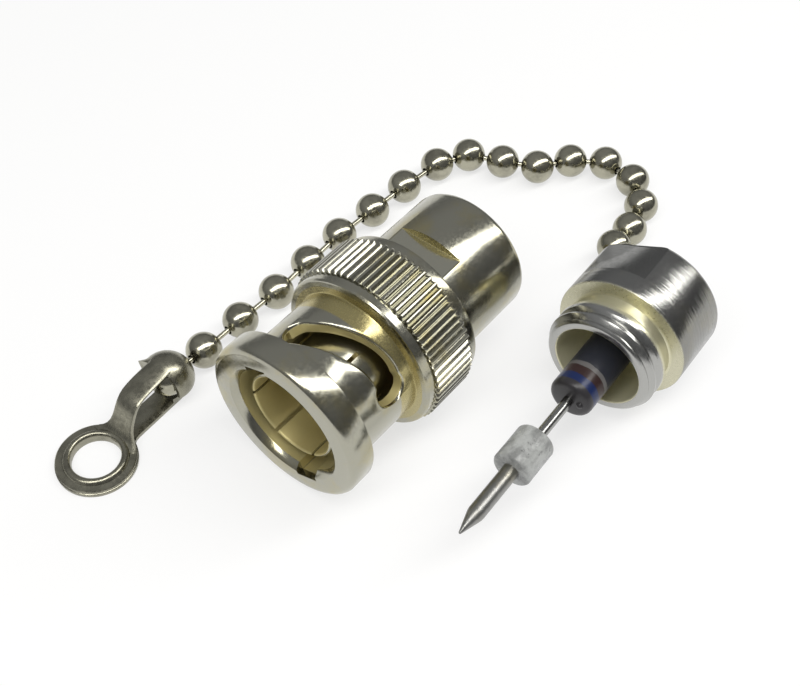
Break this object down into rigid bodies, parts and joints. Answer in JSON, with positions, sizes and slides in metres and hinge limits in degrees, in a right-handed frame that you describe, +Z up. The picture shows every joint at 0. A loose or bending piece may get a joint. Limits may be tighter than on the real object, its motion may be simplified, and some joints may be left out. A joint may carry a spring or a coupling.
{
  "type": "coaxial terminator",
  "caption": "Bayonet coaxial terminator shown open: slotted coupling nut on a tubular plug, a threaded cap that carries the resistor and pin, and a bead chain with a ring tag.",
  "frame": {"origin": "centre of the outer contact's front edge, on the plug's axis", "axes": "+X along the plug's axis from its mouth to its rear, +Y towards the chain, +Z up from the surface that it lies on"},
  "size_m": [0.0594, 0.0372, 0.015],
  "materials": {
    "nut_plate": "nickel plated, worn satin",
    "body_plate": "nickel plated, satin",
    "contact_plate": "silver plated, tarnished khaki",
    "cap_plate": "nickel plated, satin",
    "gasket_rubber": "plain",
    "spring_steel": "plain",
    "resistor_coat": "dark lacquer with colour bands",
    "lead_tin": "tinned wire",
    "solder": "dull solder",
    "collar_plastic": "scuffed off-white",
    "pin_plate": "plated",
    "chain_steel": "plated, dark",
    "tag_steel": "plated, dark"
  },
  "bodies": {
    "plug": {"outer_contact": "contact_plate", "plug_body": "body_plate", "gasket": "gasket_rubber", "spring_washer": "spring_steel", "cap_shell": "cap_plate", "resistor_body": "resistor_coat", "resistor_front_lead": "lead_tin", "resistor_rear_lead": "lead_tin", "solder_joint": "solder", "insulator_collar": "collar_plastic", "contact_pin": "pin_plate", "chain_socket": "cap_plate"},
    "ring": {"retaining_ring": "spring_steel"},
    "nut": {"coupling_nut": "nut_plate"},
    "chain_01": {"chain_link_01": "chain_steel", "chain_bead_01": "chain_steel"},
    "chain_02": {"chain_link_02": "chain_steel", "chain_bead_02": "chain_steel"},
    "chain_03": {"chain_link_03": "chain_steel", "chain_bead_03": "chain_steel"},
    "chain_04": {"chain_link_04": "chain_steel", "chain_bead_04": "chain_steel"},
    "chain_05": {"chain_link_05": "chain_steel", "chain_bead_05": "chain_steel"},
    "chain_06": {"chain_link_06": "chain_steel", "chain_bead_06": "chain_steel"},
    "chain_07": {"chain_link_07": "chain_steel", "chain_bead_07": "chain_steel"},
    "chain_08": {"chain_link_08": "chain_steel", "chain_bead_08": "chain_steel"},
    "chain_09": {"chain_link_09": "chain_steel", "chain_bead_09": "chain_steel"},
    "chain_10": {"chain_link_10": "chain_steel", "chain_bead_10": "chain_steel"},
    "chain_11": {"chain_link_11": "chain_steel", "chain_bead_11": "chain_steel"},
    "chain_12": {"chain_link_12": "chain_steel", "chain_bead_12": "chain_steel"},
    "chain_13": {"chain_link_13": "chain_steel", "chain_bead_13": "chain_steel"},
    "chain_14": {"chain_link_14": "chain_steel", "chain_bead_14": "chain_steel"},
    "chain_15": {"chain_link_15": "chain_steel", "chain_bead_15": "chain_steel"},
    "chain_16": {"chain_link_16": "chain_steel", "chain_bead_16": "chain_steel"},
    "chain_17": {"chain_link_17": "chain_steel", "chain_bead_17": "chain_steel"},
    "chain_18": {"chain_link_18": "chain_steel", "chain_bead_18": "chain_steel"},
    "chain_19": {"chain_link_19": "chain_steel", "chain_bead_19": "chain_steel"},
    "chain_20": {"chain_link_20": "chain_steel", "chain_bead_20": "chain_steel"},
    "tag": {"ring_tag": "tag_steel"}
  },
  "joints": [
    {"name": "nut_draw", "type": "slide", "parent": "plug", "child": "ring", "axis": [1, 0, 0], "range_m": [-0.0008, 0], "stiffness_N_per_m": 6000, "springref_m": 0.0005, "deforming": ["spring_washer"]},
    {"name": "nut_turn", "type": "hinge", "parent": "ring", "child": "nut", "pos_m": [0.0067, 0, 0], "axis": [1, 0, 0], "continuous": true},
    {"name": "chain_hinge_01", "type": "hinge", "parent": "plug", "child": "chain_01", "pos_m": [0.02893, -0.01457, -0.00171], "axis": [0, 0, 1], "range_deg": [-4, 2]},
    {"name": "chain_hinge_02", "type": "hinge", "parent": "chain_01", "child": "chain_02", "pos_m": [0.03178, -0.01271, -0.00222], "axis": [0, 0, 1], "range_deg": [-8, 0]},
    {"name": "chain_hinge_03", "type": "hinge", "parent": "chain_02", "child": "chain_03", "pos_m": [0.03327, -0.00937, -0.00369], "axis": [0, 0, 1], "range_deg": [-8, 0]},
    {"name": "chain_hinge_04", "type": "hinge", "parent": "chain_03", "child": "chain_04", "pos_m": [0.03571, -0.0073, -0.00538], "axis": [0, 0, 1], "range_deg": [-8, 0]},
    {"name": "chain_hinge_05", "type": "hinge", "parent": "chain_04", "child": "chain_05", "pos_m": [0.03905, -0.00686, -0.0059], "axis": [0, 0, 1], "range_deg": [-8, 0]},
    {"name": "chain_hinge_06", "type": "hinge", "parent": "chain_05", "child": "chain_06", "pos_m": [0.04225, -0.00582, -0.0059], "axis": [0, 0, 1], "range_deg": [-8, 0]},
    {"name": "chain_hinge_07", "type": "hinge", "parent": "chain_06", "child": "chain_07", "pos_m": [0.0444, -0.00326, -0.0059], "axis": [0, 0, 1], "range_deg": [-8, 0]},
    {"name": "chain_hinge_08", "type": "hinge", "parent": "chain_07", "child": "chain_08", "pos_m": [0.04456, 0.00006, -0.0059], "axis": [0, 0, 1], "range_deg": [-8, 0]},
    {"name": "chain_hinge_09", "type": "hinge", "parent": "chain_08", "child": "chain_09", "pos_m": [0.04256, 0.00281, -0.0059], "axis": [0, 0, 1], "range_deg": [-8, 0]},
    {"name": "chain_hinge_10", "type": "hinge", "parent": "chain_09", "child": "chain_10", "pos_m": [0.03997, 0.00496, -0.0059], "axis": [0, 0, 1], "range_deg": [-8, 0]},
    {"name": "chain_hinge_11", "type": "hinge", "parent": "chain_10", "child": "chain_11", "pos_m": [0.03849, 0.00805, -0.0059], "axis": [0, 0, 1], "range_deg": [-8, 0]},
    {"name": "chain_hinge_12", "type": "hinge", "parent": "chain_11", "child": "chain_12", "pos_m": [0.03693, 0.011, -0.0059], "axis": [0, 0, 1], "range_deg": [-8, 0]},
    {"name": "chain_hinge_13", "type": "hinge", "parent": "chain_12", "child": "chain_13", "pos_m": [0.03337, 0.01251, -0.0059], "axis": [0, 0, 1], "range_deg": [-12, 0]},
    {"name": "chain_hinge_14", "type": "hinge", "parent": "chain_13", "child": "chain_14", "pos_m": [0.02898, 0.01302, -0.0059], "axis": [0, 0, 1], "range_deg": [-12, 0]},
    {"name": "chain_hinge_15", "type": "hinge", "parent": "chain_14", "child": "chain_15", "pos_m": [0.02457, 0.01333, -0.0059], "axis": [0, 0, 1], "range_deg": [-12, 0]},
    {"name": "chain_hinge_16", "type": "hinge", "parent": "chain_15", "child": "chain_16", "pos_m": [0.02016, 0.01356, -0.0059], "axis": [0, 0, 1], "range_deg": [-12, 0]},
    {"name": "chain_hinge_17", "type": "hinge", "parent": "chain_16", "child": "chain_17", "pos_m": [0.01574, 0.01349, -0.0059], "axis": [0, 0, 1], "range_deg": [-12, 0]},
    {"name": "chain_hinge_18", "type": "hinge", "parent": "chain_17", "child": "chain_18", "pos_m": [0.01132, 0.01342, -0.0059], "axis": [0, 0, 1], "range_deg": [-12, 4]},
    {"name": "chain_hinge_19", "type": "hinge", "parent": "chain_18", "child": "chain_19", "pos_m": [0.0069, 0.0136, -0.0059], "axis": [0, 0, 1], "range_deg": [-12, 6]},
    {"name": "chain_hinge_20", "type": "hinge", "parent": "chain_19", "child": "chain_20", "pos_m": [0.0025, 0.01364, -0.00575], "axis": [0, 0, 1], "range_deg": [-12, 8]},
    {"name": "tag_hinge", "type": "hinge", "parent": "chain_20", "child": "tag", "pos_m": [-0.00095, 0.01352, -0.0052], "axis": [0, 0, 1], "range_deg": [-12, 12]}
  ]
}
